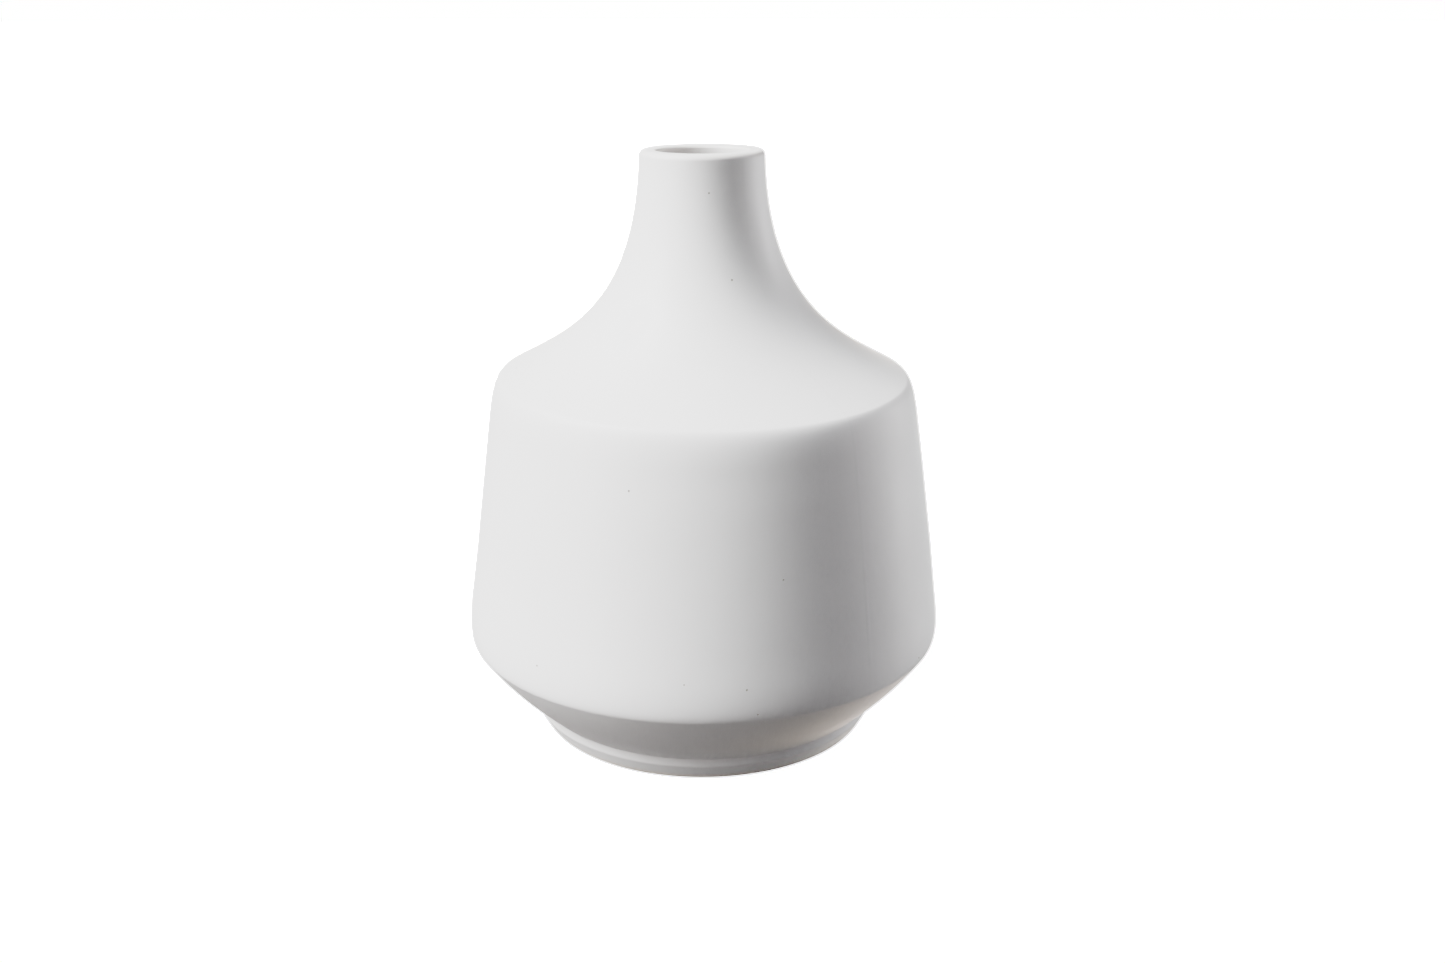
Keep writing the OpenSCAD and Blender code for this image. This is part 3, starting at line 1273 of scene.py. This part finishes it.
class Potter:
    """Turns profiles into finished pieces of the vase."""

    def __init__(self, outline: Outline, unevenness: Unevenness, segments: int = 192) -> None:
        """Sets up the wheel.

        Args:
            outline: The vase's profile.
            unevenness: How far it is from a perfect turning.
            segments: How many segments a turn has.
        """
        self.outline = outline
        self.unevenness = unevenness
        self.segments = segments
        self.tree = ShellTree().tree
        self.surface = joined(outline.outside(), outline.inside())
        self.under = moved_left(self.surface, outline.coat)
        self.crest_row = len(outline.outside()) - 1

    def profile_mesh(self, name: str, path: Path, finish: bpy.types.Material) -> bpy.types.Mesh:
        """Makes a profile's mesh, one point to a row, marked where the glaze is thin or gathers.

        Args:
            name: The mesh's name.
            Makes a profile's mesh, one point to a row, marked where the glaze is thin and where creases get
            painted shade.
            finish: The material of the piece that it becomes.

        Returns:
            The mesh.
        """
        mesh = bpy.data.meshes.new(name)
        points = [(max(point.x, 0.0), 0.0, point.y) for point in path]
        mesh.from_pydata(points, [(row, row + 1) for row in range(len(points) - 1)], [])
        mesh.materials.append(finish)
        # The second kind marks the creases that are painted darker as shade
        kinds = {"thinness": self.outline.thin_edges(), "pooling": self.outline.pools()}
        for label, marks in kinds.items():
            values = [min(1.0, max(mark.share(point) for mark in marks)) for point in path]
            mesh.attributes.new(label, "FLOAT", "POINT").data.foreach_set("value", values)
        return mesh

    def turn(self, name: str, path: Path, finish: bpy.types.Material) -> bpy.types.Object:
        """Turns one piece.

        Args:
            name: The piece's name.
            path: Its closed section, with the solid on the left. The first point comes again at the end,
                or both ends are on the axis.
            finish: Its material.

        Returns:
            The piece, still turning: made_plain finishes it.
        """
        piece = bpy.data.objects.new(name, self.profile_mesh(name + "_profile", path, finish))
        bpy.context.scene.collection.objects.link(piece)
        modifier = piece.modifiers.new("turned_shell", "NODES")
        modifier.node_group = self.tree
        values = {
            "Segments": self.segments,
            **{Unevenness.label(name): value for name, value in asdict(self.unevenness).items()},
            "Height": self.outline.height,
            "Finish": finish,
        }
        set_inputs(modifier, values)
        return piece

    def pit(
        self, piece: bpy.types.Object, finish: bpy.types.Material, pit_finish: bpy.types.Material
    ) -> None:
        """Sinks pinholes into a piece.

        Args:
            piece: The outer coat, still turning.
            finish: Its material.
            pit_finish: The pits' material.
        """
        marks = bpy.data.meshes.new("pinhole_marks")
        places = []
        for hole in PINHOLES:
            radius = self.outline.radius_at(hole.height)
            angle = math.radians(hole.azimuth)
            places.append((radius * math.cos(angle), radius * math.sin(angle), hole.height))
        marks.from_pydata(places, [], [])
        widths = marks.attributes.new("width", "FLOAT", "POINT")
        widths.data.foreach_set("value", [hole.width for hole in PINHOLES])
        holder = bpy.data.objects.new("pinhole_marks", marks)
        bpy.context.scene.collection.objects.link(holder)
        modifier = piece.modifiers.new("glaze_pinholes", "NODES")
        modifier.node_group = PinholeTree().tree
        values = {"Marks": holder, "Depth": PIT_DEPTH, "Pit Finish": pit_finish, "Finish": finish, "Seed": 4}
        set_inputs(modifier, values)
        made_plain(piece)
        bpy.data.objects.remove(holder)


def set_inputs(modifier: bpy.types.NodesModifier, values: dict[str, object]) -> None:
    """Sets a Geometry Nodes modifier's inputs.

    Args:
        modifier: The modifier.
        values: Each input's value, by the input's name.
    """
    for item in modifier.node_group.interface.items_tree:
        if item.item_type == "SOCKET" and item.in_out == "INPUT" and item.name in values:
            modifier[item.identifier] = values[item.name]


def made_plain(piece: bpy.types.Object) -> bpy.types.Object:
    """Turns an object's modifiers into a plain mesh.

    Args:
        piece: The object.

    Returns:
        The same object, with the result as its mesh.
    """
    bpy.context.view_layer.update()
    graph = bpy.context.evaluated_depsgraph_get()
    finished = piece.evaluated_get(graph)
    mesh = bpy.data.meshes.new_from_object(finished, preserve_all_data_layers=True, depsgraph=graph)
    piece.modifiers.clear()
    old = piece.data
    piece.data = mesh
    mesh.name = piece.name
    bpy.data.meshes.remove(old)
    return piece


@dataclass(frozen=True)
class ClayBody:
    """The slip-cast clay: the wall, the lip, the floor and the ring foot in one casting."""

    potter: Potter
    finish: bpy.types.Material

    def build(self) -> bpy.types.Object:
        """Turns the clay under the glaze, and the bare ring.

        Returns:
            The piece.
        """
        under_recess = moved_left(self.potter.outline.recess(), self.potter.outline.coat)
        ring = self.potter.outline.ring(under_recess[-1].x, self.potter.under[0].x)
        path = joined(under_recess, ring, self.potter.under)
        piece = made_plain(self.potter.turn("clay_casting", path, self.finish))
        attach(piece, "root")
        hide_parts("clay_body")
        return piece


@dataclass(frozen=True)
class OuterCoat:
    """The satin glaze outside, from the glaze line up to the crest of the lip."""

    potter: Potter
    finish: bpy.types.Material
    pit_finish: bpy.types.Material

    def build(self) -> bpy.types.Object:
        """Turns the outer coat, and sinks its pinholes.

        Returns:
            The piece.
        """
        last = self.potter.crest_row + 1
        surface = self.potter.surface[:last]
        under = self.potter.under[:last]
        piece = self.potter.turn("outer_glaze_coat", surface + under[::-1] + surface[:1], self.finish)
        self.potter.pit(piece, self.finish, self.pit_finish)
        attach(piece, "root")
        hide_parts("outer_glaze")
        return piece


@dataclass(frozen=True)
class LinerCoat:
    """The glaze inside, from the crest of the lip down over the chamber and its floor."""

    potter: Potter
    finish: bpy.types.Material

    def build(self) -> bpy.types.Object:
        """Turns the liner.

        Returns:
            The piece.
        """
        first = self.potter.crest_row
        surface = self.potter.surface[first:]
        under = self.potter.under[first:]
        piece = made_plain(self.potter.turn("liner_glaze_coat", under[::-1] + surface, self.finish))
        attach(piece, "root")
        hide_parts("liner_glaze")
        return piece


@dataclass(frozen=True)
class RecessCoat:
    """The glaze in the recess inside the foot ring."""

    potter: Potter
    finish: bpy.types.Material

    def build(self) -> bpy.types.Object:
        """Turns the recess's coat.

        Returns:
            The piece.
        """
        surface = self.potter.outline.recess()
        under = moved_left(surface, self.potter.outline.coat)
        piece = made_plain(self.potter.turn("recess_glaze_coat", surface + under[::-1], self.finish))
        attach(piece, "root")
        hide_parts("foot_recess_glaze")
        return piece


# ---------------------------------------------------------------- studio


@dataclass(frozen=True)
class SoftLight:
    """A broad soft light, far off in one direction."""

    name: str
    azimuth: float
    elevation: float
    strength: float
    tint: tuple = (1.0, 1.0, 1.0)
    spread: float = 45

    def direction(self) -> tuple[float, float, float]:
        """Returns the unit direction towards the light."""
        azimuth = math.radians(self.azimuth)
        elevation = math.radians(self.elevation)
        level = math.cos(elevation)
        return (level * math.cos(azimuth), level * math.sin(azimuth), math.sin(elevation))


LIGHTS = [
    SoftLight("key", -167, 34, 6.8, (1.03, 1.0, 0.97)),
    SoftLight("key_top", 176, 52, 8.17, (1.03, 1.0, 0.98)),
    SoftLight("key_side", -167, 52, 7.63, (0.96, 1.0, 1.04)),
    SoftLight("front_card", -150, -2, 1.76, (1.04, 0.98, 0.98)),
    SoftLight("rim", 28, 4, 2.14, (1.01, 0.99, 1.01)),
    SoftLight("rim_right", -6, 4, 0.66, (1.03, 0.97, 1.01)),
    SoftLight("rim_low", 28, -14, 0.85),
    SoftLight("side_bounce", 62, -14, 0.45, (0.92, 1.03, 1.03)),
    SoftLight("back_bounce", 79, -32, 0.85, (1.2, 0.97, 0.88)),
    SoftLight("back_low", 88, -11, 3.48, (1.2, 1.0, 0.8)),
    SoftLight("table_bounce", 62, -50, 0.18, (1.28, 1.0, 0.72)),
]


@dataclass(frozen=True)
class PrintTone:
    """How the picture is printed: lifted out of the dark, and held back just under white on the glaze."""

    held: float = 0.925
    bend: float = 4.5
    last: float = 0.95
    steps: int = 19

    def shown(self, value: float) -> float:
        """Returns the printed value for a plain display value."""
        return self.held * (1 - math.exp(-self.bend * value)) / (1 - math.exp(-self.bend))

    def light(self, value: float) -> float:
        """Returns the light that a display value stands for."""
        return value / 12.92 if value <= 0.04045 else ((value + 0.055) / 1.055) ** 2.4

    def apply(self, settings: bpy.types.ColorManagedViewSettings) -> None:
        """Sets the picture's tone curve.

        Args:
            settings: The scene's view settings.
        """
        settings.view_transform = "Standard"
        settings.look = "None"
        settings.use_curve_mapping = True
        mapping = settings.curve_mapping
        curve = mapping.curves[3]
        for step in range(1, self.steps + 1):
            value = self.last * step / self.steps
            curve.points.new(self.light(value), self.light(self.shown(value)))
        mapping.update()


@dataclass(frozen=True)
class Studio:
    """A pale table that lights nothing, soft lights all round, and the camera."""

    lights: list[SoftLight]
    camera_distance: float = 2.446
    camera_height: float = 1.2175
    camera_right: float = 0.0333
    camera_pitch: float = math.radians(17.946)
    lens: float = 36.28
    floor_radius: float = 25.0
    floor_colour: tuple = (0.05, 0.05, 0.05, 1.0)
    floor_glow: float = 1.0

    def build(self, height: float) -> None:
        """Sets the stage.

        Args:
            height: The vase's height.
        """
        self.make_floor()
        self.make_world()
        self.make_camera(height)
        PrintTone().apply(bpy.context.scene.view_settings)

    def make_floor(self) -> None:
        """Lays a wide pale disc under the vase."""
        mesh = bpy.data.meshes.new("table_top")
        sides = 96
        angles = [math.tau * side / sides for side in range(sides)]
        reach = self.floor_radius
        rim = [(reach * math.cos(angle), reach * math.sin(angle), 0.0) for angle in angles]
        mesh.from_pydata(rim, [], [list(range(sides))])
        floor = bpy.data.objects.new("table_top", mesh)
        bpy.context.scene.collection.objects.link(floor)
        finish = bpy.data.materials.new("pale_table")
        finish.use_nodes = True
        shader = finish.node_tree.nodes["Principled BSDF"]
        shader.inputs["Base Color"].default_value = self.floor_colour
        shader.inputs["Roughness"].default_value = 1.0
        shader.inputs["Specular IOR Level"].default_value = 0.0
        shader.inputs["Emission Color"].default_value = (1.0, 1.0, 1.0, 1.0)
        shader.inputs["Emission Strength"].default_value = self.floor_glow
        mesh.materials.append(finish)
        floor.visible_diffuse = False
        floor.visible_glossy = False
        floor.visible_transmission = False
        floor.visible_shadow = False

    def make_world(self) -> None:
        """Lights the scene from far off, and shows plain white behind it."""
        world = bpy.data.worlds.new("soft_studio")
        bpy.context.scene.world = world
        world.use_nodes = True
        world.node_tree.nodes.clear()
        bench = Bench(world.node_tree)
        towards = bench.put("ShaderNodeTexCoord").outputs["Generated"]
        total = None
        for light in self.lights:
            facing = bench.vector("DOT_PRODUCT", towards, light.direction()).outputs["Value"]
            near = bench.reckon("POWER", bench.reckon("MAXIMUM", facing, 0.0), light.spread)
            glow = tuple(light.strength * part for part in light.tint)
            scaled = bench.vector("SCALE", glow)
            bench.feed(scaled.inputs["Scale"], near)
            lit = scaled.outputs[0]
            total = lit if total is None else bench.vector("ADD", total, lit).outputs[0]
        soft = bench.put("ShaderNodeBackground", {"Color": total, "Strength": 1.0})
        plain = bench.put("ShaderNodeBackground", {"Color": (1.0, 1.0, 1.0, 1.0), "Strength": 1.0})
        seen = bench.put("ShaderNodeLightPath").outputs["Is Camera Ray"]
        both = bench.put("ShaderNodeMixShader", {0: seen, 1: soft.outputs[0], 2: plain.outputs[0]})
        bench.put("ShaderNodeOutputWorld", {"Surface": both.outputs[0]})

    def make_camera(self, height: float) -> None:
        """Sets up the camera, in front of the vase and a little above it.

        Args:
            height: The vase's height, which its place is measured in.
        """
        data = bpy.data.cameras.new("camera")
        data.lens = self.lens
        data.sensor_width = 36.0
        data.clip_start = 0.01
        data.clip_end = 100.0
        camera = bpy.data.objects.new("camera", data)
        bpy.context.scene.collection.objects.link(camera)
        camera.location = (
            self.camera_right * height,
            -self.camera_distance * height,
            self.camera_height * height,
        )
        camera.rotation_euler = (math.pi / 2 - self.camera_pitch, 0.0, 0.0)
        bpy.context.scene.camera = camera


def main() -> None:
    """Builds the vase and the studio."""
    logging.basicConfig(level=logging.INFO, format="%(name)s: %(message)s")
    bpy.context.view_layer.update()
    outline = Outline.from_frame()
    studio = Studio(LIGHTS)
    studio.build(outline.height)
    shelf = EffectShelf()
    potter = Potter(outline, Unevenness())
    parts = [
        ClayBody(potter, ClayFinish("bare_clay").make(shelf)),
        OuterCoat(potter, GlazeFinish("satin_glaze").make(shelf), PitFinish("pinhole_pit").make(shelf)),
        # The liner's painted shade down inside the neck is turned on here
        LinerCoat(potter, GlazeFinish("liner_glaze", roughness=0.36, drained_share=1.0).make(shelf)),
        RecessCoat(potter, GlazeFinish("recess_glaze", cloud_depth=0.04).make(shelf)),
    ]
    for part in parts:
        piece = part.build()
        LOG.info("%s: %d faces", piece.name, len(piece.data.polygons))


if __name__ == "__main__":
    main()
